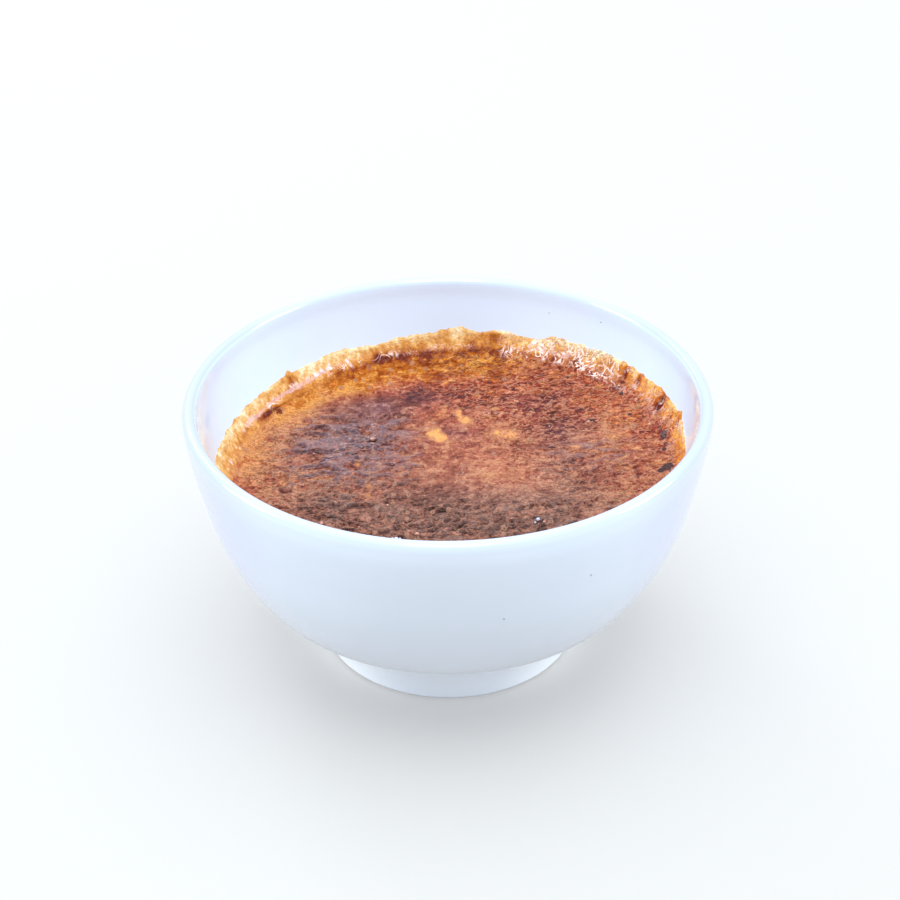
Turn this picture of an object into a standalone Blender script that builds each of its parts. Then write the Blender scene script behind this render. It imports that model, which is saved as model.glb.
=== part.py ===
"""Creme brulee baked in its own footed porcelain bowl, in metres with +Z up.

The origin is the centre of the foot's flat underside, and +Z is the axis of the bowl.
Azimuth is measured from +Y, the far side of the bowl, towards +X.

Two objects are made:
    bowl     one turned piece: round lip, thin wall, foot ring and the hollow under it
    custard  the filling up to its crust, with the baked skin that climbs the wall
"""

import math

import bpy
import numpy as np
from mathutils import Vector, noise

# Bowl: overall size
RIM_RADIUS = 0.0575
BOWL_HEIGHT = 0.0612
LIP_THICKNESS = 0.0030
BASE_THICKNESS = 0.0044

# Bowl: outside of the wall from the foot up to the lip, as shares of the two sizes above
WALL_OUTLINE = (
    (0.541, 0.170),
    (0.647, 0.229),
    (0.765, 0.312),
    (0.852, 0.436),
    (0.918, 0.585),
    (0.963, 0.752),
    (0.993, 0.900),
    (1.000, 1.0 - LIP_THICKNESS / 2 / BOWL_HEIGHT),
)

# Bowl: foot ring and the shallow hollow inside it
FOOT_TOP_RADIUS = 0.0294
FOOT_BOTTOM_RADIUS = 0.0290
FOOT_TOP_HEIGHT = 0.0090
FOOT_EDGE_RADIUS = 0.0008
FOOT_RING_WIDTH = 0.0042
HOLLOW_HEIGHT = 0.0050
HOLLOW_CORNER = 0.0015
FLOOR_HEIGHT = HOLLOW_HEIGHT + BASE_THICKNESS
FLOOR_FLATNESS = 4

# Custard: the crust lies a little askew, sags in the middle and is slightly uneven
WALL_GAP = 0.0003
CRUST_LEVEL = 0.0417
CRUST_TILT = 0.0030
HIGH_SIDE = math.radians(66)
CRUST_SAG = 0.0007
CRUST_RELIEF = 0.0006
RELIEF_LENGTH = 0.012
ROLL_WIDTH = 0.0025

# Custard: the skin left on the wall above the crust, ragged along its top
SKIN_HEIGHT = 0.0056
SKIN_BASE_THICKNESS = 0.0014
SKIN_TOP_THICKNESS = 0.0006
RAGGED_HEIGHT = 0.0012
RAGGED_LENGTH = 0.009
PLEAT_SHARE = 0.3
PLEAT_LENGTH = 0.006

# Fineness
SEGMENTS = 80
OUTER_WALL_POINTS = 12
INNER_WALL_POINTS = 9
LIP_STEPS = 6
CORNER_STEPS = 2
FLOOR_POINTS = 4
CRUST_RINGS = 9
SKIN_RINGS = 4
SOAKED_WALL_POINTS = 7
MERGE_DISTANCE = 0.00001
SHARP_ANGLE = math.radians(40)


def clear_scene():
    for obj in list(bpy.data.objects):
        bpy.data.objects.remove(obj)


def new_collection(name):
    collection = bpy.data.collections.new(name)
    bpy.context.scene.collection.children.link(collection)
    return collection


def new_material(name, colour, roughness):
    material = bpy.data.materials.new(name)
    material.use_nodes = True
    shader = material.node_tree.nodes["Principled BSDF"]
    shader.inputs["Base Color"].default_value = (*colour, 1.0)
    shader.inputs["Roughness"].default_value = roughness
    shader.inputs["Metallic"].default_value = 0.0
    return material


def smooth_through(points, steps=8):
    """A Catmull-Rom curve through the points, as rows of radius and height."""
    points = np.array(points)
    ends = np.vstack((2 * points[0] - points[1], points, 2 * points[-1] - points[-2]))
    curve = []
    for before, start, end, after in zip(ends, ends[1:], ends[2:], ends[3:]):
        for t in np.arange(steps) / steps:
            square = (2 * before - 5 * start + 4 * end - after) * t ** 2
            cube = (3 * start - before - 3 * end + after) * t ** 3
            curve.append((2 * start + (end - before) * t + square + cube) / 2)
    curve.append(points[-1])
    return np.array(curve)


def evenly_spaced(curve, count):
    """The given number of points along a curve, at equal distances."""
    lengths = np.hypot(*np.diff(curve, axis=0).T)
    travelled = np.concatenate(([0.0], np.cumsum(lengths)))
    wanted = np.linspace(0.0, travelled[-1], count)
    return np.column_stack([np.interp(wanted, travelled, column) for column in curve.T])


def arc(centre, radius, start_degrees, end_degrees, steps):
    """Points on an arc, its angles measured from straight out towards straight up."""
    angles = np.radians(np.linspace(start_degrees, end_degrees, steps + 1))
    return np.column_stack((centre[0] + radius * np.cos(angles), centre[1] + radius * np.sin(angles)))


def outer_wall():
    """The outside of the wall, from the foot up to where the lip begins."""
    return smooth_through([(r * RIM_RADIUS, z * BOWL_HEIGHT) for r, z in WALL_OUTLINE])


def inner_wall(clearance=0.0):
    """The inside of the wall, from low to high, or a line that far inside it."""
    outside = outer_wall()
    along = np.gradient(outside, axis=0)
    along /= np.hypot(*along.T)[:, None]
    inward = np.column_stack((-along[:, 1], along[:, 0]))
    lowest = outside[0, 1]
    share_down = 1 - (outside[:, 1] - lowest) / (outside[-1, 1] - lowest)
    thickness = LIP_THICKNESS + (BASE_THICKNESS - LIP_THICKNESS) * share_down ** 2
    return outside + inward * (thickness + clearance)[:, None]


def inner_floor(clearance=0.0):
    """The dished floor of the bowl, from the axis out to the foot of the inner wall."""
    edge_radius, edge_height = inner_wall(clearance)[0]
    centre_height = FLOOR_HEIGHT + clearance
    share = np.linspace(0.0, 1.0, FLOOR_POINTS, endpoint=False)
    heights = centre_height + (edge_height - centre_height) * share ** FLOOR_FLATNESS
    return np.column_stack((edge_radius * share, heights))


def foot_outline():
    """The foot ring and its hollow, from the wall down, round and in to the axis."""
    corner = FOOT_EDGE_RADIUS
    inside_radius = FOOT_BOTTOM_RADIUS - FOOT_RING_WIDTH
    hollow_radius = inside_radius - HOLLOW_CORNER
    outer_corner = arc((FOOT_BOTTOM_RADIUS - corner, corner), corner, 0, -90, CORNER_STEPS)
    inner_corner = arc((inside_radius + corner, corner), corner, -90, -180, CORNER_STEPS)
    hollow_corner = arc((hollow_radius, HOLLOW_HEIGHT - HOLLOW_CORNER), HOLLOW_CORNER, 0, 90, CORNER_STEPS)
    return np.vstack((
        (FOOT_TOP_RADIUS, FOOT_TOP_HEIGHT),
        outer_corner,
        inner_corner,
        hollow_corner,
        (0.0, HOLLOW_HEIGHT),
    ))


def bowl_outline():
    """Half of the bowl's section: floor, inner wall, lip, outer wall and foot."""
    lip_radius = LIP_THICKNESS / 2
    lip_centre = (RIM_RADIUS - lip_radius, BOWL_HEIGHT - lip_radius)
    inside = evenly_spaced(inner_wall(), INNER_WALL_POINTS)[:-1]
    lip = arc(lip_centre, lip_radius, 180, 0, LIP_STEPS)
    outside = evenly_spaced(outer_wall(), OUTER_WALL_POINTS)[-2::-1]
    return np.vstack((inner_floor(), inside, lip, outside, foot_outline()))


def inside_radius_at(height):
    """The radius of the filling's side at a height, clear of the wall."""
    side = inner_wall(WALL_GAP)
    return np.interp(height, side[:, 1], side[:, 0])


def custard_outline():
    """Half of the filling's section before baking: level crust, even skin, side, bottom."""
    skin_top = CRUST_LEVEL + SKIN_HEIGHT
    skin_heights = np.linspace(CRUST_LEVEL + ROLL_WIDTH / 3, skin_top, SKIN_RINGS)
    skin_share = (skin_heights - CRUST_LEVEL) / SKIN_HEIGHT
    thickness = SKIN_BASE_THICKNESS + (SKIN_TOP_THICKNESS - SKIN_BASE_THICKNESS) * skin_share
    skin = np.column_stack((inside_radius_at(skin_heights) - thickness, skin_heights))
    crust_radius = skin[0, 0] - ROLL_WIDTH / 3
    crust = np.column_stack((np.linspace(0.0, crust_radius, CRUST_RINGS), np.full(CRUST_RINGS, CRUST_LEVEL)))
    side = inner_wall(WALL_GAP)
    soaked = side[side[:, 1] < CRUST_LEVEL - CRUST_TILT]
    soaked = evenly_spaced(soaked, SOAKED_WALL_POINTS)[::-1]
    lip = (inside_radius_at(skin_top), skin_top)
    return np.vstack((crust, skin, lip, soaked, inner_floor(WALL_GAP)[::-1]))


def turned(name, outline, collection, material):
    """A solid made by turning an outline about the Z axis."""
    mesh = bpy.data.meshes.new(name)
    vertices = [(radius, 0.0, height) for radius, height in outline]
    mesh.from_pydata(vertices, [(i, i + 1) for i in range(len(vertices) - 1)], [])
    mesh.materials.append(material)
    obj = bpy.data.objects.new(name, mesh)
    collection.objects.link(obj)
    screw = obj.modifiers.new("Turn", "SCREW")
    screw.axis = "Z"
    screw.steps = SEGMENTS
    screw.render_steps = SEGMENTS
    screw.use_merge_vertices = True
    screw.merge_threshold = MERGE_DISTANCE
    screw.use_smooth_shade = True
    return obj


def as_plain_mesh(obj):
    """Replace an object's mesh and modifiers by the mesh that they give."""
    depsgraph = bpy.context.evaluated_depsgraph_get()
    mesh = bpy.data.meshes.new_from_object(obj.evaluated_get(depsgraph))
    obj.modifiers.clear()
    obj.data = mesh
    return obj


def unevenness(x, y, length, layer):
    """Smooth noise of about -1 to 1 over the plan, with bumps of the given length."""
    return noise.noise(Vector((x / length, y / length, layer)))


def baked(x, y, z):
    """Where a point of the level crust or the even skin lies on the baked custard."""
    radius = math.hypot(x, y)
    azimuth = math.atan2(x, y)
    wall = inside_radius_at(z)
    share_out = radius / wall
    rise = CRUST_TILT * math.cos(azimuth - HIGH_SIDE) * share_out
    if z <= CRUST_LEVEL + MERGE_DISTANCE:
        sag = CRUST_SAG * (1 - share_out ** 2)
        return x, y, z + rise - sag + CRUST_RELIEF * unevenness(x, y, RELIEF_LENGTH, 0.0)
    skin_share = (z - CRUST_LEVEL) / SKIN_HEIGHT
    ragged = RAGGED_HEIGHT * unevenness(x, y, RAGGED_LENGTH, 3.0) * skin_share
    thickness = (wall - radius) * (1 + PLEAT_SHARE * unevenness(x, y, PLEAT_LENGTH, 7.0))
    height = z + rise + ragged
    scale = (inside_radius_at(height) - thickness) / radius
    return x * scale, y * scale, height


def bake(obj):
    """Give the turned filling its tilted, uneven crust and its ragged skin."""
    for vertex in obj.data.vertices:
        if vertex.co.z > CRUST_LEVEL - MERGE_DISTANCE:
            vertex.co = baked(*vertex.co)
    obj.data.update()


def shade_round(obj):
    obj.data.shade_smooth()
    obj.data.set_sharp_from_angle(angle=SHARP_ANGLE)


def make_bowl(collection):
    porcelain = new_material("white_glazed_porcelain", (0.84, 0.87, 0.90), 0.12)
    bowl = as_plain_mesh(turned("bowl", bowl_outline(), collection, porcelain))
    shade_round(bowl)
    return bowl


def make_custard(collection):
    crust = new_material("caramelised_custard", (0.43, 0.17, 0.12), 0.35)
    custard = as_plain_mesh(turned("custard", custard_outline(), collection, crust))
    bake(custard)
    shade_round(custard)
    return custard


def main():
    clear_scene()
    collection = new_collection("creme_brulee")
    make_bowl(collection)
    make_custard(collection)


main()
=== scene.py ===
"""The looks of a creme brulee in its footed porcelain bowl: glaze, burnt crust and baked skin.

Everything is in metres in the CAD frame: +Z is the bowl's axis and -Y is the side that faces
the camera. Azimuth is measured from +Y, the far side, towards +X.
"""

import math
from types import SimpleNamespace

import bmesh
import bpy
import numpy as np
from mathutils import Matrix, Vector, noise


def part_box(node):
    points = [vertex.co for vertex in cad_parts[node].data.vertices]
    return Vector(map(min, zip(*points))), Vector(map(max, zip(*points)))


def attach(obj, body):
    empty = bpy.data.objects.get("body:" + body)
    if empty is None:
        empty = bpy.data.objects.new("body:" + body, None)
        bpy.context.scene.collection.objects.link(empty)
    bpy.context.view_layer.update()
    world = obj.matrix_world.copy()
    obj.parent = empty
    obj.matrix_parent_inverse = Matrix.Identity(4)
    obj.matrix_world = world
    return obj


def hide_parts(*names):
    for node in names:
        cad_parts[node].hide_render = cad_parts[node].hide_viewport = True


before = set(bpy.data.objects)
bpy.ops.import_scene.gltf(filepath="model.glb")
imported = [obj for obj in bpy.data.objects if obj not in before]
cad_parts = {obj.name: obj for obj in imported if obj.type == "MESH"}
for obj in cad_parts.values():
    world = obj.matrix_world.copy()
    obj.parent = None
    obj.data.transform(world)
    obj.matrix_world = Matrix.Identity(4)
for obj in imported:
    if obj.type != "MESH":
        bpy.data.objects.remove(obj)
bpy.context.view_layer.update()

MM = 0.001

# Bowl, in the shares and sizes of the CAD bowl
RIM_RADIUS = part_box("bowl")[1].x
BOWL_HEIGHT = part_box("bowl")[1].z
LIP_THICKNESS = 3.0 * MM
BASE_THICKNESS = 4.4 * MM
WALL_OUTLINE = (
    (0.541, 0.170),
    (0.647, 0.229),
    (0.765, 0.312),
    (0.852, 0.436),
    (0.918, 0.585),
    (0.963, 0.752),
    (0.993, 0.900),
    (1.000, 1.0 - LIP_THICKNESS / 2 / BOWL_HEIGHT),
)
FOOT_TOP_RADIUS = 29.4 * MM
FOOT_BOTTOM_RADIUS = 29.0 * MM
FOOT_TOP_HEIGHT = 9.0 * MM
FOOT_EDGE_RADIUS = 0.8 * MM
FOOT_RING_WIDTH = 4.2 * MM
HOLLOW_HEIGHT = 5.0 * MM
HOLLOW_CORNER = 1.5 * MM
FLOOR_HEIGHT = HOLLOW_HEIGHT + BASE_THICKNESS
BOWL_SEGMENTS = 256
BOWL_STEP = 0.8 * MM
SHARP_ANGLE = math.radians(50)

# Custard: crust and the skin that climbs the wall
CRUST_LEVEL = 41.7 * MM
CRUST_TILT = 3.0 * MM
HIGH_SIDE = math.radians(66)
CRUST_SAG = 0.7 * MM
CRUST_RADIUS = 52 * MM
SKIN_HEIGHT = 5.6 * MM
FILLET_WIDTH = 4.0 * MM
CRUST_RINGS = 120
SKIN_RINGS = 26
SIDE_RINGS = 4
TUCK = 0.6 * MM
RIPPLE_LEAN = 0.6
# The marks of the skin are given by their height on the wall as seen from 34 degrees above the
# rim, and run down over the fillet at that slope, the same all the way round
MARK_SLOPE = 0.675
BASE_BROWN = 0.365


# ---------------------------------------------------------------- noise

def smooth_noise(x, y, size, seed):
    """Gradient noise of about -1 to 1 over two coordinates, with bumps of the given size."""
    cells = 256
    angle = np.random.default_rng(seed).uniform(0, 2 * np.pi, (cells, cells))
    u, v = x / size, y / size
    column, row = np.floor(u).astype(int), np.floor(v).astype(int)
    u, v = u - column, v - row

    def corner(right, up):
        turn = angle[(row + up) % cells, (column + right) % cells]
        return np.cos(turn) * (u - right) + np.sin(turn) * (v - up)

    ease_u = u * u * u * (u * (u * 6 - 15) + 10)
    ease_v = v * v * v * (v * (v * 6 - 15) + 10)
    low = corner(0, 0) * (1 - ease_u) + corner(1, 0) * ease_u
    high = corner(0, 1) * (1 - ease_u) + corner(1, 1) * ease_u
    return 1.4 * (low * (1 - ease_v) + high * ease_v)


def fractal_noise(x, y, size, seed, octaves=3):
    """Layers of smooth noise, each half the size and half the strength of the one before."""
    layers = [smooth_noise(x, y, size / 2 ** i, seed + i) / 2 ** i for i in range(octaves)]
    return sum(layers)


def smoothstep(low, high, value):
    share = np.clip((value - low) / (high - low), 0, 1)
    return share * share * (3 - 2 * share)


def band(value, start, full, wane, end):
    """Rises from 0 to 1 between start and full, and falls back to 0 between wane and end."""
    return smoothstep(start, full, value) * smoothstep(end, wane, value)


# ---------------------------------------------------------------- turned shapes

def smooth_through(points, steps=24):
    """A Catmull-Rom curve through the points, as rows of radius and height."""
    points = np.array(points)
    ends = np.vstack((2 * points[0] - points[1], points, 2 * points[-1] - points[-2]))
    curve = []
    for before, start, end, after in zip(ends, ends[1:], ends[2:], ends[3:]):
        for t in np.arange(steps) / steps:
            square = (2 * before - 5 * start + 4 * end - after) * t ** 2
            cube = (3 * start - before - 3 * end + after) * t ** 3
            curve.append((2 * start + (end - before) * t + square + cube) / 2)
    curve.append(points[-1])
    return np.array(curve)


def evenly_spaced(curve, step):
    """Points along a curve, about the given distance apart."""
    travelled = np.concatenate(([0.0], np.cumsum(np.hypot(*np.diff(curve, axis=0).T))))
    wanted = np.linspace(0.0, travelled[-1], max(2, round(travelled[-1] / step) + 1))
    return np.column_stack([np.interp(wanted, travelled, column) for column in curve.T])


def arc(centre, radius, start_degrees, end_degrees, steps):
    angles = np.radians(np.linspace(start_degrees, end_degrees, steps + 1))
    return np.column_stack((centre[0] + radius * np.cos(angles), centre[1] + radius * np.sin(angles)))


def outer_wall():
    return smooth_through([(r * RIM_RADIUS, z * BOWL_HEIGHT) for r, z in WALL_OUTLINE])


def inner_wall():
    """The inside of the wall, from low to high: the wall thickens towards its base."""
    outside = outer_wall()
    along = np.gradient(outside, axis=0)
    along /= np.hypot(*along.T)[:, None]
    inward = np.column_stack((-along[:, 1], along[:, 0]))
    share_down = 1 - (outside[:, 1] - outside[0, 1]) / (outside[-1, 1] - outside[0, 1])
    thickness = LIP_THICKNESS + (BASE_THICKNESS - LIP_THICKNESS) * share_down ** 2
    return outside + inward * thickness[:, None]


INNER_WALL = inner_wall()


def wall_radius(height):
    """The radius of the bowl's inside at a height."""
    return np.interp(height, INNER_WALL[:, 1], INNER_WALL[:, 0])


def bowl_outline():
    lip_radius = LIP_THICKNESS / 2
    edge_radius, edge_height = INNER_WALL[0]
    share = np.linspace(0.0, 1.0, 24, endpoint=False)
    floor = np.column_stack((edge_radius * share, FLOOR_HEIGHT + (edge_height - FLOOR_HEIGHT) * share ** 4))
    lip = arc((RIM_RADIUS - lip_radius, BOWL_HEIGHT - lip_radius), lip_radius, 180, 0, 16)
    corner = FOOT_EDGE_RADIUS
    inside_radius = FOOT_BOTTOM_RADIUS - FOOT_RING_WIDTH
    hollow_radius = inside_radius - HOLLOW_CORNER
    return np.vstack((
        floor,
        evenly_spaced(INNER_WALL, BOWL_STEP)[:-1],
        lip,
        evenly_spaced(outer_wall(), BOWL_STEP)[-2::-1],
        (FOOT_TOP_RADIUS, FOOT_TOP_HEIGHT),
        arc((FOOT_BOTTOM_RADIUS - corner, corner), corner, 0, -90, 6),
        arc((inside_radius + corner, corner), corner, -90, -180, 6),
        arc((hollow_radius, HOLLOW_HEIGHT - HOLLOW_CORNER), HOLLOW_CORNER, 0, 90, 6),
        (0.0, HOLLOW_HEIGHT),
    ))


def link(obj):
    bpy.context.scene.collection.objects.link(obj)
    return obj


def make_bowl():
    mesh = bpy.data.meshes.new("porcelain_bowl")
    outline = bowl_outline()
    mesh.from_pydata([(r, 0, z) for r, z in outline], [(i, i + 1) for i in range(len(outline) - 1)], [])
    bowl = link(bpy.data.objects.new("porcelain_bowl", mesh))
    screw = bowl.modifiers.new("Turn", "SCREW")
    screw.steps = BOWL_SEGMENTS
    screw.render_steps = BOWL_SEGMENTS
    screw.use_merge_vertices = True
    screw.merge_threshold = 0.01 * MM
    mesh = bpy.data.meshes.new_from_object(bowl.evaluated_get(bpy.context.evaluated_depsgraph_get()))
    bowl.modifiers.clear()
    bowl.data = mesh
    mesh.shade_smooth()
    mesh.set_sharp_from_angle(angle=SHARP_ANGLE)
    return bowl


# ---------------------------------------------------------------- custard shape

# Places on the crust, in millimetres across and away from the front: x, y, half width, half depth,
# and strength, which is 1 where it isn't given
DARK_PATCHES = (
    (-3, 43, 6, 4, 0.20),
    (-6, 33, 14, 4.5, 0.28),
    (-3, 34, 6, 3, 0.16),
    (-6, 28, 8, 3, 0.18),
    (-20, 25, 10, 4, 0.08),
    (-17, 18, 5, 4, 0.28),
    (-10, 4, 6, 4, 0.06),
    (-27, 18, 9, 6, 0.16),
    (-25, 11, 12, 5, 0.22),
    (-31, -8, 6, 4, 0.16),
    (-27, -14, 8, 4, 0.44),
    (-15, -2.5, 6, 2.5, 0.18),
    (-8, -10, 6, 4, 0.14),
    (-3, -14, 11, 4, 0.34),
    (-11, -22, 11, 4, 0.30),
    (12, -22, 15, 4, 0.44),
    (-6, -8, 7, 4, 0.10),
    (7, -8, 8, 4, 0.12),
    (18, 36, 18, 8, 0.20),
    (22, 27, 8, 5, 0.20),
    (25, 30, 16, 14, 0.14),
    (24, 21, 5, 4, 0.12),
    (7, 27, 5, 4, 0.20),
    (24, 14, 6, 8, 0.26),
    (15, 10, 5, 4, 0.20),
    (32, 16, 4, 2, 0.26),
    (28, 1, 4, 2.5, 0.26),
    (34, -6, 6, 3, 0.24),
    (5, 15, 4, 3, 0.16),
    (44, 8, 4, 10, 0.20),
)
WARM_PATCHES = (
    (8, 0, 3, 8, 0.18),
    (12, -8, 9, 6, 0.14),
    (36, 8, 6, 4, 0.12),
    (-36, 25, 8, 7, 0.22),
    (-22, 36, 10, 4, 0.14),
    (-43, 9, 5, 12, 0.20),
    (38, 17, 4, 4, 0.12),
    (42, 2, 3, 3, 0.12),
    (-34, 10, 8, 16, 0.12),
    (-37, -10, 5, 6, 0.20),
    (37, -14, 6, 5, 0.12),
    (-29, 33, 5, 4, 0.20),
    (-41, 19, 6, 5, 0.14),
    (7, 14, 4, 4, 0.12),
    (12, -12, 4, 3, 0.14),
    (22, 32, 4, 4, 0.26),
    (37, 18, 3, 4, 0.14),
    (32, 12, 3, 3, 0.10),
    (21, 44, 6, 3, 0.20),
    (28, 40, 6, 4, 0.14),
    (-46, 8, 4, 8, 0.15),
)
ASHEN_PATCHES = (
    (-3, -2, 13, 11, 0.20),
    (-3, -13, 14, 6, 0.25),
    (14, -22, 18, 5, 0.20),
    (-26, 16, 12, 8, 0.45),
    (-18, 28, 12, 6, 0.30),
    (-30, -8, 12, 8, 0.35),
    (26, 0, 6, 12, 0.25),
    (24, -12, 14, 6, 0.15),
)
MAUVE_PATCHES = (
    (-10, 31, 12, 5, 0.80),
    (-18, 26, 6, 4, 0.50),
    (22, 27, 9, 5, 0.70),
    (26, 15, 6, 5, 0.70),
    (2, 16, 4, 4, 0.50),
    (-24, 14, 12, 6, 0.60),
)
PALE_SPOTS = (
    (-3.2, 16.2, 1.9, 3.0),
    (-1.4, 13.6, 1.6, 1.6),
    (2.4, 24.5, 1.0, 2.2, 0.8),
    (4.2, 21.0, 2.0, 2.4, 0.75),
    (-1.0, 27.0, 1.4, 0.8, 0.6),
    (11.2, 14.6, 2.2, 2.2, 0.75),
    (14.6, 13.6, 2.2, 3.0, 0.75),
    (28.6, 6.6, 1.8, 1.4, 0.65),
    (-36.6, -0.8, 1.2, 1.2, 0.6),
    (-17.8, -2.8, 1.3, 1.7, 0.55),
    (-17.6, -6.6, 1.2, 1.6, 0.5),
    (-20.5, 6.2, 1.3, 0.9, 0.55),
    (-5.0, -0.6, 1.4, 0.9, 0.55),
    (11.0, 24.8, 1.4, 1.0, 0.6),
)
BURNT_SPECKS = (
    (48.6, 8.0, 0.8, 1.6),
    (48.2, 3.0, 0.6, 0.7),
    (48.4, -4.2, 1.4, 1.6),
    (46.8, -5.4, 0.8, 1.0),
    (41.8, 18.2, 0.5, 0.6),
    (40.6, 27.0, 0.5, 0.6),
    (28.4, 36.0, 0.8, 0.6),
    (33.0, 17.0, 1.3, 0.6),
)

# Rises of the skin's upper edge: azimuth and half width in degrees, rise in millimetres
EDGE_RISES = (
    (-46.5, 1.0, 1.4),
    (-32, 3, 0.6),
    (-19, 7, -0.8),
    (2.5, 3.0, 0.8),
    (8, 2, -0.8),
    (22, 4, -1.2),
    (31, 2, 0.5),
    (43, 3, 0.4),
    (69, 4, 0.3),
    (80.4, 0.9, 1.2),
    (94, 9, -3.4),
)
# Places on the skin: azimuth in degrees and height above its foot in millimetres, half width
# in degrees, half height in millimetres and strength
PALE_FOLDS = (
    (-78, 3, 24, 6, 0.20),
    (-39, 4, 5, 3, 0.20),
    (-28, 3.4, 5, 2, 0.15),
    (-22, 5, 14, 0.8, 0.15),
    (2.5, 2.0, 2.6, 5, 0.22),
    (7.5, 4.2, 2.0, 2, 0.10),
    (14, 5.2, 4, 0.7, 0.50),
    (24, 3.0, 5, 3, 0.15),
    (35, 4.0, 5, 3, 0.20),
    (42, 4.0, 2.5, 3, 0.25),
    (49.5, 3.5, 1.5, 3, 0.25),
    (56.5, 3.5, 1.8, 3, 0.28),
    (64, 3.5, 2.8, 3, 0.25),
    (75, 3.5, 2.6, 3, 0.35),
    (85, 3.5, 4.5, 4, 0.45),
    (46, 5.3, 8, 0.8, 0.35),
)
BROWN_FOLDS = (
    (-46.5, 3.6, 2.0, 3.2, 0.30),
    (-48, 1.6, 0.9, 0.5, 0.90),
    (-59.5, 0.2, 3.2, 0.8, 0.90),
    (-55.8, -1.2, 1.5, 1.2, 0.90),
    (-32, -0.1, 1.6, 0.9, 0.45),
    (-19, 0.0, 1.9, 1.1, 0.70),
    (-13.5, -0.3, 2.4, 0.8, 0.70),
    (-19.5, 1.6, 0.8, 0.8, 0.45),
    (-16, 1.0, 8, 1.6, 0.15),
    (-5.5, -1.4, 1.7, 1.5, 0.95),
    (7, 1.5, 1.2, 3, 0.25),
    (9.5, 4.4, 1.4, 2.4, 0.30),
    (13, 3.4, 1.8, 2.6, 0.40),
    (12.5, -1.2, 1.2, 0.9, 0.50),
    (16.5, -1.8, 1.4, 1.4, 0.50),
    (31, -0.4, 0.8, 1.2, 0.50),
    (37.2, 1.0, 0.8, 1.4, 0.70),
    (35.5, -1.5, 1.0, 1.4, 0.50),
    (48, 3.4, 0.8, 1.8, 0.22),
    (53.5, 3.2, 1.1, 2.4, 0.64),
    (54, 0.7, 1.4, 0.6, 0.60),
    (58.5, 3.4, 0.9, 2.0, 0.62),
    (70, 3.2, 1.2, 2.6, 0.75),
    (70, 1.2, 1.2, 0.9, 0.60),
    (76.5, 2.0, 1.0, 1.8, 0.55),
    (81, 3.6, 0.7, 2.0, 0.40),
    (88, 1.0, 5, 2, 0.20),
    (-72, 5.6, 12, 0.8, 0.20),
    (-71, 1.0, 5, 1.3, 0.24),
    (70, 1.6, 4, 1.0, 0.25),
)
# Glossy places on the skin, which also carry painted glints of near white
GLOSS_AND_PAINTED_GLINT_FOLDS = (
    (-92, 1.0, 4, 1.2, 0.50),
    (-84, 0.8, 4, 1.2, 0.55),
    (-76, 0.6, 3, 1.2, 0.50),
    (-66, 2.2, 3, 0.9, 0.60),
    (-57, 1.6, 4.0, 0.3, 0.60),
    (-38, 2.2, 2.4, 0.8, 0.80),
    (-34, 2.6, 2.4, 1.2, 0.75),
    (-29, 2.2, 2.4, 1.4, 0.70),
    (-23, 2.2, 2.4, 1.4, 0.60),
    (-18, 2.2, 2.0, 0.9, 0.60),
    (-13, 1.6, 2.4, 0.9, 0.50),
    (-3, 1.2, 4.0, 0.8, 0.40),
    (20, 0.5, 0.5, 2.4, 0.70),
    (25, 3.4, 2.0, 1.2, 0.50),
    (29.5, 2.2, 1.4, 1.8, 0.60),
    (33, 1.8, 1.4, 1.4, 0.50),
    (38.8, 2.0, 0.9, 1.8, 1.10),
    (42, 2.6, 1.0, 1.4, 0.55),
    (45.5, 2.6, 0.8, 1.5, 0.75),
    (40, 5.1, 3.5, 0.35, 0.80),
    (49, 0.6, 3.0, 1.0, 0.50),
    (60, 1.2, 6.0, 0.7, 0.50),
    (74, 0.8, 5.0, 0.8, 0.45),
)
# The strength of the ledge is also how far it stands out, in millimetres. Its pinkish white colour is a
# painted highlight
LEDGE = (
    (-66, 2.0, 2.4, 1.0, 1.0),
    (-61.5, 1.4, 2.6, 0.6, 0.8),
    (-54.5, 1.8, 4.6, 0.45, 1.0),
    (-48, 1.6, 3.0, 0.5, 0.8),
    (-42.5, 1.5, 4.0, 0.7, 1.1),
    (-36, 1.9, 2.6, 0.7, 0.7),
    (-31, 2.3, 2.0, 0.8, 0.5),
    (24, 1.3, 3.0, 1.1, 0.5),
    (30, 1.6, 3.0, 1.4, 0.6),
    (34.5, 1.4, 1.4, 1.4, 0.6),
    (41.5, 0.7, 3.0, 0.8, 0.6),
    (47, 0.6, 3.0, 0.8, 0.5),
)


def disc_grid(rings):
    """A square grid mapped onto a unit disc: x, y, its quads, and its rim in order."""
    side = np.arange(-rings, rings + 1)
    i, j = (a.ravel().astype(float) for a in np.meshgrid(side, side))
    flat = np.abs(i) >= np.abs(j)
    with np.errstate(divide="ignore", invalid="ignore"):
        angle = np.where(flat, np.pi / 4 * j / i, np.pi / 2 - np.pi / 4 * i / j)
    angle = np.nan_to_num(angle)
    radius = np.where(flat, i, j) / rings
    number = np.arange(len(side) ** 2).reshape(len(side), len(side))
    corners = (number[:-1, :-1], number[:-1, 1:], number[1:, 1:], number[1:, :-1])
    quads = np.stack(corners, -1).reshape(-1, 4)
    rim = np.concatenate((number[0, :-1], number[:-1, -1], number[-1, :0:-1], number[:0:-1, 0]))
    return radius * np.cos(angle), radius * np.sin(angle), quads, rim


def crust_plane(azimuth, share_out):
    """The height of the crust without its relief: level, tilt and sag."""
    tilt = CRUST_TILT * np.cos(azimuth - HIGH_SIDE) * share_out
    return CRUST_LEVEL + tilt - CRUST_SAG * (1 - share_out ** 2)


def ridges(x, y, size, seed):
    """Sharp crests, 1 at the top, between broad hollows."""
    return 1 - np.abs(fractal_noise(x, y, size, seed, 2))


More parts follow.
